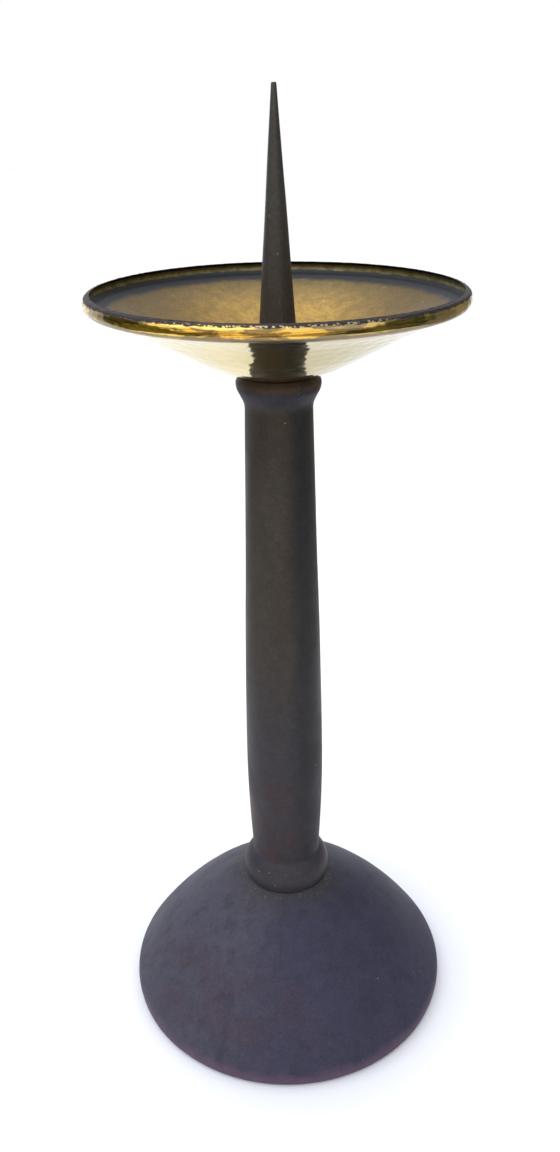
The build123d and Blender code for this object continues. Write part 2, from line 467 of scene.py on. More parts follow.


# Masks for the bronze's layers of tone, and of painted light and shade.
def patches(size, low, high, offset=(9, 1, 5)):
    """Irregular patches where noise of that size is over low to high."""
    return lambda s: s.fade(s.grain(size, 4, 0.65, offset=offset, distortion=0.6), low, high)


def toward(degrees, low, high, most):
    """The side of the object at that angle about Z."""
    return lambda s: s.fade(s.facing(degrees), low, high, 0, most)


def from_height(start, full):
    """Growing from the height start to the height full, upwards or downwards."""
    return lambda s: s.fade(s.height(), start, full)


# ---- drip pan ----
pan_bulge, pan_bottom, pan_top = size_of("drip_pan")
sheet = 1.4
pan_seat_radius = 18.0
pan_floor_seat_radius = 17.7
pan_sweep = [
    (27.0, pan_bottom + 3.4),
    (40.0, pan_bottom + 10.0),
    (64.0, pan_bottom + 23.2),
    (79.2, pan_bottom + 30.0),
]
pan_step = 1.0
pan_lip = pan_bulge - 2.2
lip_nick_depth = 0.30
rod_hole = 4.3
# Zone numbers of the pan, in the order of its outline.
UNDERSIDE, GROOVE, BAND, LIP, WALL, FLOOR, HOLE = 0, 1, 2, 3, 4, 5, 6


def lifted(points, distance):
    """The same points, each moved up squarely from the line through its neighbours."""
    moved = []
    for before, point, after in zip(points[:1] + points[:-1], points, points[1:] + points[-1:]):
        run, rise = after[0] - before[0], after[1] - before[1]
        length = hypot(run, rise)
        moved.append((point[0] - distance * rise / length, point[1] + distance * run / length))
    return moved


def drip_pan():
    edge = pan_sweep[-1]
    groove = (edge[0] + 0.4, edge[1] + 0.55)
    band_foot = (edge[0] + pan_step, edge[1] + 0.05)
    band_middle = (pan_bulge - 0.05, pan_top - 3.9)
    wall_middle = (pan_bulge - sheet, pan_top - 3.6)
    seat = (pan_seat_radius, pan_bottom)
    floor_line = [(pan_floor_seat_radius, pan_bottom + sheet), *lifted([seat, *pan_sweep], sheet)[1:]]
    outline = Profile(rod_hole, pan_bottom, step=1.5)
    outline.line(*seat, soft=1.2, zone=UNDERSIDE, step=4)
    outline.curve(pan_sweep, soft=0.1, zone=UNDERSIDE)
    outline.line(*groove, soft=0.1, zone=GROOVE)
    outline.line(*band_foot, soft=0.25, zone=GROOVE)
    outline.arc(band_middle, (pan_lip, pan_top), soft=0.45, zone=BAND, step=0.5)
    outline.line(pan_lip - sheet, pan_top, soft=0.4, zone=LIP, step=0.5)
    outline.arc(wall_middle, floor_line[-1], soft=1.8, zone=WALL, step=0.7)
    outline.curve(floor_line[-2::-1], soft=1.5, zone=FLOOR, step=2.2)
    outline.line(rod_hole, pan_bottom + sheet, soft=0.2, zone=HOLE, step=4)
    outline.close(soft=0.2, zone=HOLE)

    def relief(r, z, zone, along, angle):
        row_zone, row_along = zone[:, 0], along[:, 0]
        under = row_along[row_zone == UNDERSIDE]
        band = row_along[(row_zone >= BAND) & (row_zone <= LIP)]
        edge = row_along[(row_zone > BAND) & (row_zone < LIP)].mean()
        floor = row_along[row_zone == FLOOR]
        place = (r, z, along, angle)
        lift = hammer_marks(*place, under.min() + 8, under.max() + 2, pitch=6.6, depth=0.13, seed=3)
        lift += hammer_marks(*place, band.min() - 1, band.max(), pitch=5.2, depth=0.10, seed=5)
        lift += hammer_marks(*place, floor.min() - 3, floor.max(), pitch=6.8, depth=0.035, seed=8)
        nick = rough(r, z, angle, scale=1.3, seed=7) - 0.35
        lift += lip_nick_depth * nick * np.clip(1 - np.abs(along - edge - 0.1), 0, 1)
        waves = 0.05 * (rough(r, z, angle, scale=30, seed=2) - 0.6)
        return np.minimum(lift + waves, 0)

    return turned("hammered_pan", outline, columns=528, relief=relief)


def polished_and_painted_outside(s, zone, clouds, stain, band_foot_strip):
    """Colour of the underside, with painted shade on the right and darker round the stem's head,
    and of the gold band, with painted reflections in bright and dark stretches that take turns,
    and painted shade on the right."""
    right = s.facing(-15)
    spots = s.dots(14, 0.11, 0.07, s.grain(26, 1, offset=(4, 7, 3)), 0.5, 0.55)
    under = s.layered(
        s.mix(s.fade(clouds, 0.35, 0.7), (0.685, 0.565, 0.235), (0.62, 0.515, 0.20)),
        [
            # Painted shade: the right side of the underside darker.
            (s.fade(right, -0.1, 0.5, 0, 0.85), (0.37, 0.31, 0.12)),
            (s.fade(s.radius(), 23, 20), (0.05, 0.045, 0.035)),
            (s.product(spots, 0.8), (0.20, 0.13, 0.075)),
        ],
    )
    # Painted reflections: bright gold and dark stretches round the band.
    painted_reflection_streaks = s.grain(15, 3, 0.6, stretch=(1, 1, 0.22), offset=(6, 2, 9), distortion=0.5)
    gold = s.mix(s.fade(painted_reflection_streaks, 0.45, 0.57), (0.28, 0.20, 0.085), (0.86, 0.57, 0.13))
    # Painted shade: the right side of the band darker and olive.
    gold = s.mix(s.fade(right, 0.25, 0.8, 0, 0.65), gold, (0.30, 0.27, 0.16))
    return s.layered(
        s.mix(s.fade(zone, 0.6, 1.4), under, gold),
        [
            (s.product(stain, 0.30), (0.42, 0.29, 0.12)),
            (s.product(band_foot_strip, 0.9), (0.26, 0.20, 0.125)),
        ],
    )


def aged_and_shaded_inside(s, zone, clouds, fine, height, radius, stripe):
    """Colour of the floor, darker outwards, with painted shade at the sides and near the spike,
    and with pits, dents and scratches, and of the wall, which has a painted highlight line
    and a dark top."""
    mottle = s.grain(5, 4, 0.7, offset=(9, 2, 4))
    # Painted shade: the floor darker towards the left and right sides.
    sides = s.fade(s.math("ABSOLUTE", s.facing(0)), 0.35, 1.0, 0, 0.7)
    pits = s.dots(2.6, 0.20, 0.10, fine, 0.42, 0.55)
    dents = s.dots(7, 0.08, 0.05, s.grain(11, 1, offset=(6, 3, 3)), 0.56, 0.6)
    scratches = s.grain(1.3, 2, 0.4, stretch=(7, 1, 1), offset=(2, 2, 8), distortion=0.4)
    floor = s.layered(
        s.mix(s.fade(clouds, 0.25, 0.75), (0.48, 0.305, 0.078), (0.59, 0.385, 0.108)),
        [
            (s.fade(mottle, 0.42, 0.58, 0, 0.75), (0.34, 0.225, 0.08)),
            (s.fade(fine, 0.5, 0.75, 0, 0.65), (0.30, 0.21, 0.09)),
            (s.fade(radius, 44, 76, 0, 0.8), (0.165, 0.135, 0.078)),
            (s.product(sides, s.fade(s.radius(), 25, 60)), (0.150, 0.107, 0.056)),
            # Painted shade: the floor darker near the spike.
            (s.fade(radius, 60, 36, 0, 0.6), (0.28, 0.185, 0.072)),
            (s.product(pits, 0.6), (0.20, 0.14, 0.065)),
            (s.product(dents, 0.6), (0.66, 0.52, 0.30)),
            (s.product(s.fade(scratches, 0.70, 0.76), 0.35), (0.62, 0.50, 0.30)),
        ],
    )
    # Painted highlight: a bright ragged line along the wall.
    painted_glint_line = s.between(height, pan_top - 4.1, pan_top - 2.7, 0.8)
    painted_glint = s.product(painted_glint_line, s.fade(mottle, 0.30, 0.62))
    wall = s.layered(
        s.mix(s.fade(mottle, 0.35, 0.7), (0.13, 0.125, 0.060), (0.20, 0.185, 0.090)),
        [
            (s.product(painted_glint, 0.7), (0.33, 0.28, 0.14)),
            (s.fade(height, pan_top - 1.9, pan_top - 0.9), (0.040, 0.037, 0.028)),
        ],
    )
    return s.layered(
        s.mix(s.fade(zone, WALL + 0.5, WALL), floor, wall),
        [(s.product(stripe, 0.95), (0.075, 0.080, 0.094))],
    )


def pan_brass():
    """Polished outside, where the hammer marks catch the light, with painted reflections and
    painted shade; golden brown inside, darkened with age, with painted shade at the sides and
    near the spike, a blue-grey stripe where the floor meets the wall and a painted highlight
    line on the wall; a dark oxidised edge on the lip, with a painted highlight on its inner
    edge, worn through to brass in small teeth at the front and back."""
    s = Shader("hammered_brass", Metallic=1.0)
    zone = s.node("Attribute", attribute_name="zone").outputs["Fac"]
    inside = s.fade(zone, LIP + 0.3, LIP + 0.9)
    clouds = s.grain(18, 4, 0.6, distortion=0.5)
    fine = s.grain(1.4, 4, 0.7, offset=(3, 1, 7))
    stain = s.fade(s.grain(9, 5, 0.7, offset=(2, 5, 1), distortion=1.0), 0.60, 0.72)
    # Height and radius wander a little, so that the edges of the tones are uneven.
    height = s.wander(s.height(), s.grain(7, 3, 0.6, offset=(4, 9, 2)), 1.4)
    radius = s.wander(s.radius(), s.grain(20, 3, 0.6, offset=(8, 2, 3)), 5.0)
    # A darker, duller tan strip along the foot of the band.
    band_foot_strip = s.product(s.fade(height, pan_top - 4.9, pan_top - 5.5), s.fade(zone, 1.4, 1.9))
    below_wall = s.fade(height, pan_top - 3.8, pan_top - 4.6)
    stripe = s.product(s.fade(zone, LIP + 0.5, WALL), s.fade(radius, 72.5, 76.0), below_wall)
    polished_and_painted = polished_and_painted_outside(s, zone, clouds, stain, band_foot_strip)
    aged_and_shaded = aged_and_shaded_inside(s, zone, clouds, fine, height, radius, stripe)

    sideways = s.math("ABSOLUTE", s.facing(0))
    ragged = s.wander(s.height(), s.grain(2.6, 3, 0.6, offset=(1, 1, 6)), 1.8)
    edge_height = s.math("ADD", ragged, s.product(sideways, 0.35))
    lip = s.fade(edge_height, pan_top - 1.35, pan_top - 0.95)
    tooth_line = s.between(s.height(), pan_top - 1.15, pan_top - 0.5, 0.25)
    tooth = s.product(
        s.fade(s.cells(1.4), 0.50, 0.36),
        tooth_line,
        s.fade(zone, LIP, LIP - 0.3),
        s.fade(sideways, 0.6, 0.35),
    )
    worn_lip = s.math("SUBTRACT", lip, s.product(tooth, 0.6), clamp=True)
    # Painted highlight: a pale line along the inner edge of the lip.
    painted_edge_highlight = s.product(s.between(zone, LIP + 0.25, LIP + 0.75, 0.3), s.fade(fine, 0.35, 0.6))
    groove = s.between(zone, 0.45, 1.55, 0.5)
    colour = s.layered(
        s.mix(inside, polished_and_painted, aged_and_shaded),
        [
            (s.product(worn_lip, 0.94), (0.032, 0.029, 0.038)),
            (s.product(tooth, lip, 0.7), (0.40, 0.32, 0.18)),
            (s.product(painted_edge_highlight, 0.3), (0.24, 0.23, 0.22)),
            (s.product(groove, 0.9), (0.06, 0.035, 0.05)),
        ],
    )
    s.set("Base Color", colour)

    worn = s.product(s.fade(fine, 0.3, 0.75), 0.12)
    outside_rough = s.math("ADD", s.blend(stain, 0.09, 0.22), s.product(worn, 0.3))
    outside_rough = s.math("ADD", outside_rough, s.product(band_foot_strip, 0.2))
    inside_rough = s.math("ADD", s.fade(clouds, 0.3, 0.7, 0.44, 0.54), worn)
    rough_marks = s.math("MAXIMUM", s.product(worn_lip, 0.58), s.product(stripe, 0.68))
    s.set("Roughness", s.math("MAXIMUM", s.blend(inside, outside_rough, inside_rough), rough_marks))
    ripples = s.product(s.grain(3.2, 3, 0.5, offset=(1, 4, 4)), s.blend(inside, 0.5, 1.0))
    hairlines = s.grain(0.9, 3, 0.6, stretch=(6, 1, 1), offset=(5, 2, 2))
    normal = s.bump(hairlines, 0.006, s.bump(ripples, 0.04))
    s.set("Normal", s.bump(s.product(fine, s.blend(inside, 0.07, 0.8)), 0.03, normal))
    return s.material


# ---- stem ----
foot_radius, stem_bottom, stem_top = size_of("stem_tube")
wall = 2.2
foot_height = stem_bottom + 5.8
crease = (foot_radius - 5.1, stem_bottom + 16.3)
belly = [(19.3, 118.0), (19.7, 148.0), (18.6, 210.0), (16.9, 270.0)]
neck = (15.55, stem_top - 15.3)
head = (19.3, stem_top - 3.7)
plug_low = crease[0] - wall
plug_high = neck[0] - wall
SHAFT, FOOT, HEAD, BORE = 0, 1, 2, 3


def stem_tube():
    out, up = foot_radius - crease[0], crease[1] - foot_height
    arc_radius = (out * out + up * up) / (2 * out)
    foot_edge = foot_radius - arc_radius + sqrt(arc_radius**2 - (foot_height - stem_bottom) ** 2)
    flare = radians(27.4)
    flare_bend = 8.0
    flare_top = (head[0] - flare_bend * (1 - cos(flare)), head[1] - flare_bend * sin(flare))
    flare_foot = (neck[0], flare_top[1] - (flare_top[0] - neck[0]) / tan(flare))
    over_head = (head[0] - 0.1, head[1] + 1.2)
    top_edge = head[0] - 1.6
    bore_line = [(r - wall, z) for r, z in reversed(belly)] + [(plug_low, crease[1])]
    outline = Profile(plug_low, stem_bottom, step=1.6)
    outline.line(foot_edge, stem_bottom, soft=0.5, zone=FOOT)
    outline.arc((foot_radius, foot_height), crease, soft=1.2, zone=FOOT, step=0.8)
    outline.curve([*belly, neck], zone=SHAFT, step=2.0)
    outline.line(*flare_foot, soft=2.4, zone=SHAFT)
    outline.line(*flare_top, soft=0.6, zone=HEAD, step=0.8)
    outline.arc(head, over_head, soft=0.8, zone=HEAD, step=0.6)
    outline.line(top_edge, stem_top, soft=0.5, zone=HEAD, step=0.6)
    outline.line(plug_high, stem_top, soft=0.3, zone=HEAD)
    outline.line(plug_high, neck[1], zone=BORE, step=3)
    outline.curve(bore_line, zone=BORE, step=8)
    outline.close(soft=0.3, zone=BORE, step=3)

    def relief(r, z, zone, along, angle):
        outside = (zone[:, :1] < BORE).astype(float)
        waves = 0.12 * rough(r, z / 2.2, angle, scale=19, seed=4)
        dimples = 0.04 * rough(r, z, angle, scale=6, seed=9)
        return outside * np.minimum(waves + dimples - 0.02, 0.0)

    return turned("stem_column", outline, columns=224, relief=relief)


def stem_bronze():
    """Warm brown on the front left, blue-black on the right, partly heat colour and partly painted
    shade, violet-grey low down with red-brown patches above the foot, and a heat-coloured head."""

    def blue_patina_and_shade_side(s):
        # The right side darker and bluer: partly heat colour of the bronze, partly painted shade.
        edge = s.wander(s.facing(-20), s.grain(26, 4, stretch=(1, 1, 3)), 0.8)
        return s.fade(edge, 0.30, 0.85, 0, 0.8)

    def red_patches(s):
        low = s.between(s.height(), crease[1], 138, 10)
        return s.product(low, s.fade(s.facing(-125), 0.3, 0.9), patches(12, 0.36, 0.66)(s), 0.6)

    def blue_band(s):
        height = s.math("ADD", s.height(), s.product(s.grain(20, 2, offset=(2, 2, 2)), 6))
        return s.product(s.between(height, stem_top - 8.8, stem_top - 1.3, 6), 0.85)

    def head_patch(s):
        above_band = s.fade(s.height(), stem_top - 5.8, stem_top - 3.3)
        return s.product(above_band, patches(8, 0.30, 0.56, offset=(1, 2, 4))(s))

    layers = [
        (from_height(240, 130), (0.044, 0.042, 0.056)),
        (blue_patina_and_shade_side, (0.022, 0.023, 0.030)),
        (red_patches, (0.060, 0.031, 0.032)),
        (from_height(crease[1] + 1, crease[1] - 1), (0.047, 0.044, 0.057)),
        (blue_band, (0.024, 0.023, 0.040)),
        (head_patch, (0.068, 0.046, 0.031)),
    ]
    dark, pale = (0.047, 0.040, 0.034), (0.059, 0.051, 0.044)
    return patina_and_shade("dark_bronze_stem", dark, pale, layers, roughness=0.46)


# ---- base ----
base_radius, rim_bottom, seat_height = size_of("base_shell")
shoulder_radius = 11.7
shoulder_turn = radians(33.8)
shoulder_centre = (base_radius - shoulder_radius, rim_bottom + 3.85)
dome_radius = 180.2
base_wall = 3.0
rim_width = 5.4
dome_centre = (
    shoulder_centre[0] - (dome_radius - shoulder_radius) * cos(shoulder_turn),
    shoulder_centre[1] - (dome_radius - shoulder_radius) * sin(shoulder_turn),
)
seat_radius = 21.8
seat_wall = 4.0
spigot_radius = 10.0
spigot_hole = spigot_radius + 0.05
DOME, RIM, UNDER = 0, 1, 2


def on_dome(arc_radius, r):
    return (r, dome_centre[1] + sqrt(arc_radius**2 - (r - dome_centre[0]) ** 2))


def base_shell():
    rim_outer = shoulder_centre[0] + sqrt(shoulder_radius**2 - (shoulder_centre[1] - rim_bottom) ** 2)
    rim_inner = rim_outer - rim_width
    inner = dome_radius - base_wall
    ceiling = seat_height - seat_wall
    ceiling_radius = dome_centre[0] + sqrt(inner**2 - (ceiling - dome_centre[1]) ** 2)
    shoulder_top = (
        shoulder_centre[0] + shoulder_radius * cos(shoulder_turn),
        shoulder_centre[1] + shoulder_radius * sin(shoulder_turn),
    )
    outline = Profile(rim_inner, rim_bottom, step=1.2)
    outline.line(rim_outer, rim_bottom, soft=0.6, zone=RIM)
    outline.arc((base_radius, shoulder_centre[1]), shoulder_top, zone=RIM, step=0.9)
    halfway = on_dome(dome_radius, base_radius / 2)
    outline.arc(halfway, on_dome(dome_radius, seat_radius), soft=0.3, zone=DOME)
    outline.line(spigot_hole, seat_height, soft=0.3, zone=DOME, step=3)
    outline.line(spigot_hole, ceiling, soft=0.3, zone=UNDER, step=3)
    outline.line(ceiling_radius, ceiling, soft=2.0, zone=UNDER, step=2)
    halfway_back = on_dome(inner, base_radius / 2)
    outline.arc(halfway_back, on_dome(inner, rim_inner), soft=2.5, zone=UNDER, step=1.6)
    outline.close(soft=0.6, zone=UNDER)

    def relief(r, z, zone, along, angle):
        under = np.clip(zone - RIM, 0, 1)
        outside = 0.14 * rough(r, z, angle, scale=34, seed=1)
        outside += 0.06 * rough(r, z, angle, scale=11, seed=6)
        sand = 0.16 * rough(r, z, angle, scale=3.0, seed=2)
        sand += 0.25 * rough(r, z, angle, scale=14, seed=5)
        lift = (1 - under) * (outside - 0.06) + under * (sand - 0.2)
        away_from_seat = np.clip((r - seat_radius) / 6, 0, 1)
        return np.minimum(lift, 0) * away_from_seat

    return turned("domed_foot", outline, columns=400, relief=relief)


def base_bronze():
    """Grey-violet, olive near the stem, red-brown round the bottom edge, with a few pale
    crumbs in the joint at the stem's foot; painted shade darkens the front right and painted
    light brightens the left side."""

    def olive(s):
        return s.fade(s.math("ADD", s.height(), s.product(s.grain(22, 3, offset=(1, 2, 9)), 12)), 62, 80)

    def streaks(s):
        return s.product(s.fade(s.grain(9, 4, 0.6, stretch=(1, 1, 5), offset=(7, 4, 2)), 0.5, 0.7), 0.45)

    def red_edge(s):
        ragged = s.math("ADD", s.height(), s.product(s.grain(14, 3, offset=(5, 5, 8)), 9))
        return s.product(s.fade(ragged, 15, 8), 0.9)

    def red_side(s):
        side = s.product(s.fade(s.facing(-125), 0.55, 0.95), s.between(s.height(), 14, 44, 14))
        return s.product(side, patches(18, 0.40, 0.62, offset=(4, 4, 4))(s), 0.45)

    def crumbs(s):
        joint = s.between(s.radius(), 22.4, 26.2, 1.2)
        grains = s.dots(1.7, 0.34, 0.22, s.grain(6, 1, offset=(8, 8, 8)), 0.52, 0.56)
        return s.product(joint, grains, 0.5)

    layers = [
        # Painted shade: the front right side darker.
        (toward(-60, 0.2, 0.9, 0.5), (0.042, 0.043, 0.082)),
        # Painted light: the left side lighter.
        (toward(-170, 0.1, 0.9, 0.7), (0.088, 0.086, 0.120)),
        (olive, (0.054, 0.053, 0.060)),
        (streaks, (0.032, 0.032, 0.052)),
        (red_side, (0.070, 0.044, 0.062)),
        (red_edge, (0.124, 0.078, 0.134)),
        (crumbs, (0.16, 0.155, 0.14)),
    ]
    dark, pale = (0.042, 0.042, 0.076), (0.060, 0.058, 0.102)
    return patina_and_shade("patinated_bronze", dark, pale, layers, roughness=0.56)


# ---- small pieces ----
def plain_ring(name, node, inner, columns, soft):
    """A plain turned ring with softened edges, as large as that CAD node."""
    outer, bottom, top = size_of(node)
    outline = Profile(inner, bottom, step=1.5)
    outline.line(outer, bottom, soft=soft)
    outline.line(outer, top, soft=soft)
    outline.line(inner, top, soft=soft)
    outline.close(soft=soft)
    return turned(name, outline, columns)


thread_pitch = 1.25
thread_depth = 0.62
thread_end = 0.8
lower_thread = 20
upper_thread = 22
tapped_radius = 4.0


def tie_rod():
    """A rod with a real helical thread at each end."""
    radius, bottom, top = size_of("tie_rod")
    threads = ((bottom, bottom + lower_thread), (top - upper_thread, top))
    fine = thread_pitch / 8
    outline = Profile(0, bottom, step=0.8)
    outline.line(radius - thread_end, bottom, soft=0.1)
    outline.line(radius, bottom + thread_end, soft=0.1, step=fine)
    outline.line(radius, threads[0][1], step=fine)
    outline.line(radius, threads[1][0], step=20)
    outline.line(radius, top - thread_end, soft=0.1, step=fine)
    outline.line(radius - thread_end, top, soft=0.1, step=fine)
    outline.line(0, top)

    def shape(r, z, angle):
        flank, crest = 1.25, 0.1
        phase = (z / thread_pitch - angle / (2 * pi)) % 1.0
        groove = np.clip(flank * (1 - np.abs(2 * phase - 1)) - crest, 0, 1)
        cut = np.zeros_like(r)
        for low, high in threads:
            run = np.clip((z - low) / thread_pitch, 0, 1) * np.clip((high - z) / thread_pitch, 0, 1)
            cut = np.maximum(cut, run)
        on_side = r > radius - 0.05
        return np.where(on_side, r - thread_depth * groove * cut, r), z

    return turned("threaded_rod", outline, columns=48, shape=shape)


def hex_nut():
    """A chamfered hexagon nut: the sides are cut back from a round blank."""
    corner, bottom, top = size_of("hex_nut")
    flat = corner * cos(pi / 6)
    chamfer = 0.6
    chamfer_angle = radians(28)
    inset = 0.3
    sliver = 0.001
    outline = Profile(tapped_radius, bottom + chamfer, step=2)
    outline.line(tapped_radius + chamfer, bottom)
    outline.line(flat - inset, bottom)
    outline.line(corner, bottom + sliver)
    outline.line(corner, top - sliver, step=2)
    outline.line(flat - inset, top)
    outline.line(tapped_radius + chamfer, top)
    outline.line(tapped_radius, top - chamfer)
    outline.close()

    def shape(r, z, angle):
        side = flat / np.cos((angle + pi / 6) % (pi / 3) - pi / 6)
        drop = (side - flat + inset) * tan(chamfer_angle)
        edge = r > corner - 0.01
        above = z > (bottom + top) / 2
        height = np.where(above, np.minimum(z, top - drop), np.maximum(z, bottom + drop))
        return np.where(edge, side, r), np.where(edge, height, z)

    return turned("clamping_nut", outline, columns=96, shape=shape)


def spring_washer():
    """A split ring of square section whose slanted ends stand a little apart."""
    outer, bottom, top = size_of("spring_washer")
    columns = 90
    half_gap = 0.6 / outer
    slant = 0.1
    edge_bevel = 0.2
    section = [(rod_hole, bottom), (outer, bottom), (outer, top), (rod_hole, top)]
    bm = bmesh.new()
    loops = []
    for j in range(columns + 1):
        turn = half_gap + (2 * pi - 2 * half_gap) * j / columns
        loop = []
        for r, z in section:
            angle = turn + slant * (z - bottom) / (top - bottom)
            loop.append(bm.verts.new((r * cos(angle) * MM, r * sin(angle) * MM, z * MM)))
        loops.append(loop)
    for a, b in zip(loops, loops[1:]):
        for k in range(4):
            bm.faces.new((a[k], b[k], b[(k + 1) % 4], a[(k + 1) % 4]))
    bm.faces.new(loops[0])
    bm.faces.new(list(reversed(loops[-1])))
    bmesh.ops.recalc_face_normals(bm, faces=bm.faces)
    corners = [e for e in bm.edges if e.calc_face_angle(0.0) > radians(60)]
    bmesh.ops.bevel(bm, geom=corners, offset=edge_bevel * MM, segments=2, affect="EDGES")
    mesh = bpy.data.meshes.new("split_washer")
    bm.to_mesh(mesh)
    bm.free()
    smooth_edges(mesh)
    return placed("split_washer", mesh)


def foot_plug():
    """The plug in the stem's foot, with the spigot that centres it in the base."""
    _, bottom, top = size_of("foot_plug")
    outline = Profile(rod_hole, bottom, step=2)
    outline.line(spigot_radius, bottom, soft=0.5)
    outline.line(spigot_radius, stem_bottom)
    outline.line(plug_low, stem_bottom, soft=0.3)
    outline.line(plug_low, top, soft=0.6)
    outline.line(rod_hole, top, soft=0.4)
    outline.close(soft=0.4)
    return turned("foot_centring_plug", outline, columns=96)


def head_plug():
    """The tapped plug, with the fillet of brazing metal round it and a countersunk hole."""
    _, bottom, top = size_of("head_plug")
    face = top - 0.35
    fillet = 0.7
    countersink = 0.9
    outline = Profile(tapped_radius, bottom, step=2)
    outline.line(plug_high, bottom, soft=0.5)
    outline.line(plug_high, top - 0.05, soft=0.05)
    outline.line(plug_high - fillet, face, soft=0.3)
    outline.line(tapped_radius + countersink, face, soft=0.1)
    outline.line(tapped_radius, face - countersink, soft=0.1)
    outline.close()
    return turned("head_tapped_plug", outline, columns=96)


# ---- pricket ----
def spike():
    foot, bottom, top = size_of("spike")
    tip = 1.13
    bore_depth = 17.0
    bore_cone = tapped_radius * tan(radians(31))
    outline = Profile(tapped_radius, bottom, step=0.9)
    outline.line(foot, bottom, soft=0.35)
    outline.line(tip, top, soft=0.7, step=1.0)
    outline.line(0, top, step=0.4)
    outline.line(0, bottom + bore_depth + bore_cone, step=10)
    outline.line(tapped_radius, bottom + bore_depth, step=2)
    outline.close(soft=0.5, step=2)

    def relief(r, z, zone, along, angle):
        outside = (along < top - bottom + 2 * foot) & (r > tip * 0.9)
        facets = 0.10 * rough(r, z / 4, angle, scale=6, seed=3)
        return outside * np.minimum(facets - 0.05, 0) * np.clip((z - bottom) / 3, 0, 1)

    return turned("pricket_spike", outline, columns=120, relief=relief)


def spike_bronze():
    """Dark brown, redder low down, with scratches near the foot where candles were fitted,
    and painted shade on the right side.
    """
    foot = size_of("spike")[1]

    def scratches(s):
        low = s.fade(s.height(), foot + 43.8, foot + 3.8)
        lines = s.fade(s.grain(1.1, 2, 0.4, stretch=(1, 1, 9), offset=(2, 7, 1)), 0.62, 0.70)
        return s.product(low, lines, 0.6)

    def nicks(s):
        cuts = s.grain(1.6, 2, 0.5, stretch=(1, 1, 2.5), offset=(8, 3, 3))
        return s.product(s.fade(cuts, 0.74, 0.78), 0.7)

    layers = [
        (from_height(foot + 81.8, foot + 6.8), (0.062, 0.053, 0.051)),
        # Painted shade: the right side darker.
        (toward(-20, 0.45, 0.8, 0.6), (0.042, 0.037, 0.035)),
        (scratches, (0.18, 0.135, 0.10)),
        (nicks, (0.20, 0.19, 0.16)),
    ]
    dark, pale = (0.062, 0.062, 0.060), (0.073, 0.072, 0.069)
    return patina_and_shade("dark_bronze_spike", dark, pale, layers, roughness=0.42)


# ---- other materials ----
def metal(name, base, stained, roughness, lathe_pitch=0.0):
    """Bare metal with a mottled surface and, if wanted, the rings that a lathe leaves."""
    s = Shader(name, Metallic=1.0)
    clouds = s.grain(5, 4, 0.65, distortion=0.4)
    fine = s.grain(0.6, 3, 0.6, offset=(3, 3, 3))
    s.set("Base Color", s.mix(s.fade(clouds, 0.42, 0.72), base, stained))
    mottle = s.fade(clouds, 0.3, 0.7, roughness, roughness + 0.15)
    s.set("Roughness", s.math("ADD", mottle, s.product(fine, 0.08)))
    normal = s.bump(fine, 0.012)
    if lathe_pitch:
        rings = s.math("SINE", s.product(s.radius(), 2 * pi / lathe_pitch))
        normal = s.bump(s.fade(rings, -1, 1), 0.008, normal)
    s.set("Normal", normal)
    return s.material


def felt():
    s = Shader("blue_felt", Sheen_Weight=0.5, Sheen_Roughness=0.6)
    fibres = s.grain(0.35, 4, 0.75, stretch=(3, 1, 1), distortion=1.2)
    crossing = s.grain(0.35, 4, 0.75, stretch=(1, 3, 1), offset=(5, 1, 2), distortion=1.2)
    tuft = s.math("MAXIMUM", fibres, crossing)
    s.set("Base Color", s.mix(s.fade(tuft, 0.4, 0.75), (0.010, 0.012, 0.035), (0.030, 0.034, 0.085)))
    s.set("Roughness", s.fade(tuft, 0.3, 0.8, 0.85, 1.0))
    s.set("Normal", s.bump(tuft, 0.15))
    return s.material


# ---- the object ----
finish_piece(base_shell(), "stand", "base_shell", base_bronze())
finish_piece(stem_tube(), "stand", "stem_tube", stem_bronze())
finish_piece(drip_pan(), "pan", "drip_pan", pan_brass())
finish_piece(spike(), "pricket", "spike", spike_bronze())

felt_width = 4.0
felt_inner = size_of("felt_ring")[0] - felt_width
felt_band = plain_ring("felt_band", "felt_ring", felt_inner, columns=256, soft=0.25)
finish_piece(felt_band, "stand", "felt_ring", felt())

zinc = metal("zinc_steel", (0.55, 0.55, 0.53), (0.36, 0.35, 0.33), 0.34, lathe_pitch=0.5)
finish_piece(tie_rod(), "stand", "tie_rod", zinc)
finish_piece(hex_nut(), "stand", "hex_nut", zinc)
plate = plain_ring("load_spreader", "load_plate", rod_hole, columns=128, soft=0.6)
finish_piece(plate, "stand", "load_plate", zinc)
black_steel = metal("spring_steel", (0.12, 0.12, 0.13), (0.06, 0.055, 0.05), 0.42)
finish_piece(spring_washer(), "stand", "spring_washer", black_steel)
lathe_brass = metal("turned_brass", (0.72, 0.53, 0.25), (0.40, 0.27, 0.12), 0.28, lathe_pitch=0.4)
finish_piece(foot_plug(), "stand", "foot_plug", lathe_brass)
finish_piece(head_plug(), "stand", "head_plug", lathe_brass)
washer = plain_ring("spike_seat_washer", "spike_washer", rod_hole, columns=128, soft=0.35)
dull_brass = metal("aged_brass", (0.30, 0.22, 0.10), (0.15, 0.11, 0.06), 0.42, lathe_pitch=0.6)
finish_piece(washer, "washer", "spike_washer", dull_brass)


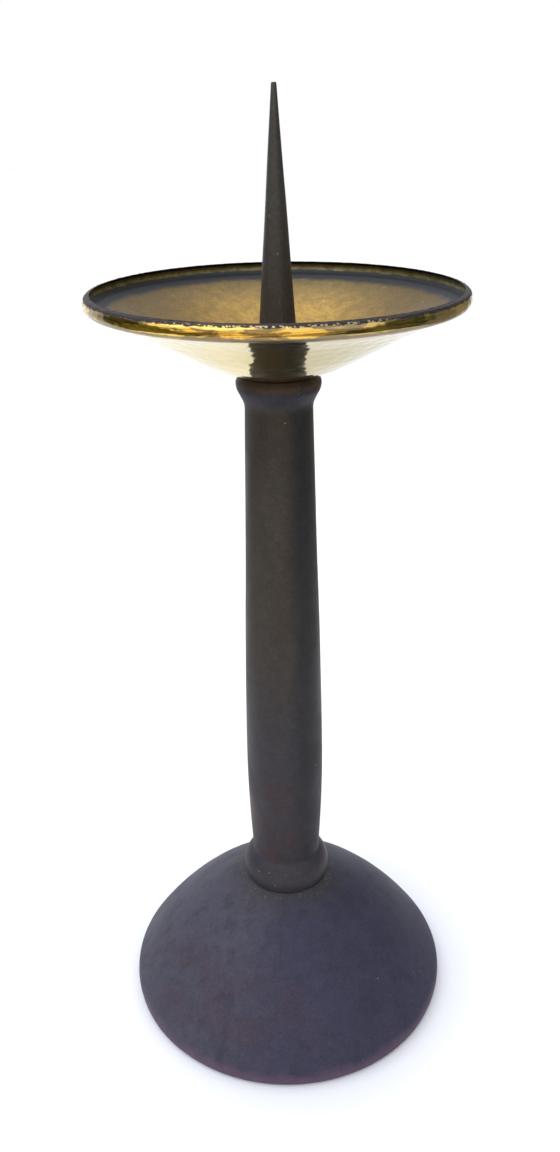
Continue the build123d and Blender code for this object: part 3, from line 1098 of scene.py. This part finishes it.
# ---- studio ----
def floor_material():
    """White seen from above, with painted bluish shade round the foot, and clear seen from below."""
    s = Shader("pale_floor")
    white = s.mix(s.fade(s.grain(160, 4, 0.6), 0.35, 0.65), (0.97, 0.975, 0.985), (0.985, 0.985, 0.99))
    # Painted shade: the floor bluish and a little darker round the foot.
    s.set("Base Color", s.mix(s.fade(s.radius(), 130, 85), white, (0.90, 0.93, 0.99)))
    s.set("Roughness", s.fade(s.grain(40, 3), 0.3, 0.7, 0.75, 0.9))
    s.set("Normal", s.bump(s.grain(5, 3), 0.02))
    under = s.node("NewGeometry").outputs["Backfacing"]
    clear = s.node("BsdfTransparent")
    either = s.node("MixShader")
    for socket, value in zip(either.inputs, (under, s.surface.outputs[0], clear.outputs[0])):
        s.tree.links.new(value, socket)
    s.tree.links.new(either.outputs[0], s.tree.nodes["Material Output"].inputs["Surface"])
    return s.material


def floor_ring(name, inner, outer, material):
    """A flat ring of the floor, just under the object. Its radii are in metres."""
    sides = 96
    drop = 0.0003
    turns = [2 * pi * k / sides for k in range(sides)]
    points = [(r * cos(t), r * sin(t), 0) for r in (inner, outer) for t in turns]
    faces = [(k, k + sides, (k + 1) % sides + sides, (k + 1) % sides) for k in range(sides)]
    mesh = bpy.data.meshes.new(name)
    mesh.from_pydata(points, [], faces)
    mesh.materials.append(material)
    piece = placed(name, mesh)
    piece.location.z = -drop
    return piece


def room():
    """The light of the room: white all round and above, darker and greener low down to the
    left and right of the viewer, brown at the far right, with sunlit and brown patches in
    front. The camera itself sees plain white."""
    world = bpy.data.worlds.new("white_room")
    world.use_nodes = True
    bpy.context.scene.world = world
    g = Graph(world.node_tree, "Generated")
    x, y, z = g.axes()
    turn = g.math("DIVIDE", g.math("ARCTAN2", x, g.product(y, -1)), pi)
    level = g.wander(z, g.noise(0.35, 3, 0.6), 0.5)

    def side(start, end, soft, rise, blur):
        """From one turn to another, below a top edge that rises away from the viewer."""
        above = g.math("SUBTRACT", level, g.fade(turn, *rise))
        return g.product(g.between(turn, start, end, soft), g.fade(above, blur, -blur))

    left = side(-0.67, -0.24, 0.08, (-0.26, -0.52, -0.16, 0.5), 0.08)
    right = side(0.20, 0.60, 0.12, (0.20, 0.45, -0.10, 0.7), 0.1)
    far_right = g.product(g.between(turn, 0.56, 0.84, 0.08), g.fade(level, 0.75, 0.55))
    front = g.product(g.between(turn, -0.45, 0.36, 0.16), g.fade(level, 0.42, 0.22))

    dappled = g.fade(g.noise(0.22, 4, 0.7, offset=(3, 1, 1)), 0.35, 0.75)
    leaves = g.mix(dappled, (0.065, 0.075, 0.04), (0.29, 0.28, 0.14))
    sunlit = g.fade(g.noise(0.30, 4, 0.65, stretch=(1.6, 1.6, 0.5), offset=(2, 0, 0)), 0.46, 0.58)
    ground = g.mix(sunlit, (0.42, 0.34, 0.24), (1.6, 1.25, 0.75))
    white = (1.16, 1.18, 1.24)
    brown = (0.38, 0.33, 0.24)
    sides = g.math("MAXIMUM", left, right)
    colour = g.layered(white, [(front, ground), (sides, leaves), (far_right, brown)])
    seen = g.node("LightPath").outputs["Is Camera Ray"]
    background = world.node_tree.nodes["Background"]
    g.feed(background.inputs["Color"], g.mix(seen, colour, (1.0, 1.0, 1.0)))


def softbox(place, target, width, power):
    data = bpy.data.lights.new("softbox", "AREA")
    data.size = width
    data.energy = power
    lamp = placed("softbox", data)
    lamp.location = place
    lamp.rotation_euler = (Vector(target) - Vector(place)).to_track_quat("-Z", "Y").to_euler()


# The floor is open under the foot, where it cannot be seen, so that light reaches the hollow.
# Its far part isn't mirrored in the brass, which shows the room there instead.
pale = floor_material()
opening_radius = (base_radius - 2.1) * MM
sheet_radius = 0.5
floor_radius = 9.0
floor_ring("floor_near", opening_radius, sheet_radius, pale)
floor_far = floor_ring("floor_far", sheet_radius, floor_radius, pale)
floor_far.visible_glossy = False
room()
softbox(place=(-0.7, -0.3, 2.1), target=(0, 0, 0.3), width=2.2, power=16)
bpy.context.scene.view_settings.view_transform = "Standard"

# The camera looks down on the foot from a little above the pan.
camera_place = (0, -0.452, 0.4536)
heading = radians(0.11)
tilt_down = radians(24.64)
roll = radians(-0.99)
camera_data = bpy.data.cameras.new("camera")
camera_data.sensor_width = 36.0
camera_data.lens = 32.09
camera = placed("camera", camera_data)
look = (
    Matrix.Rotation(heading, 4, "Z")
    @ Matrix.Rotation(pi / 2 - tilt_down, 4, "X")
    @ Matrix.Rotation(roll, 4, "Z")
)
camera.matrix_world = Matrix.Translation(camera_place) @ look
bpy.context.scene.camera = camera
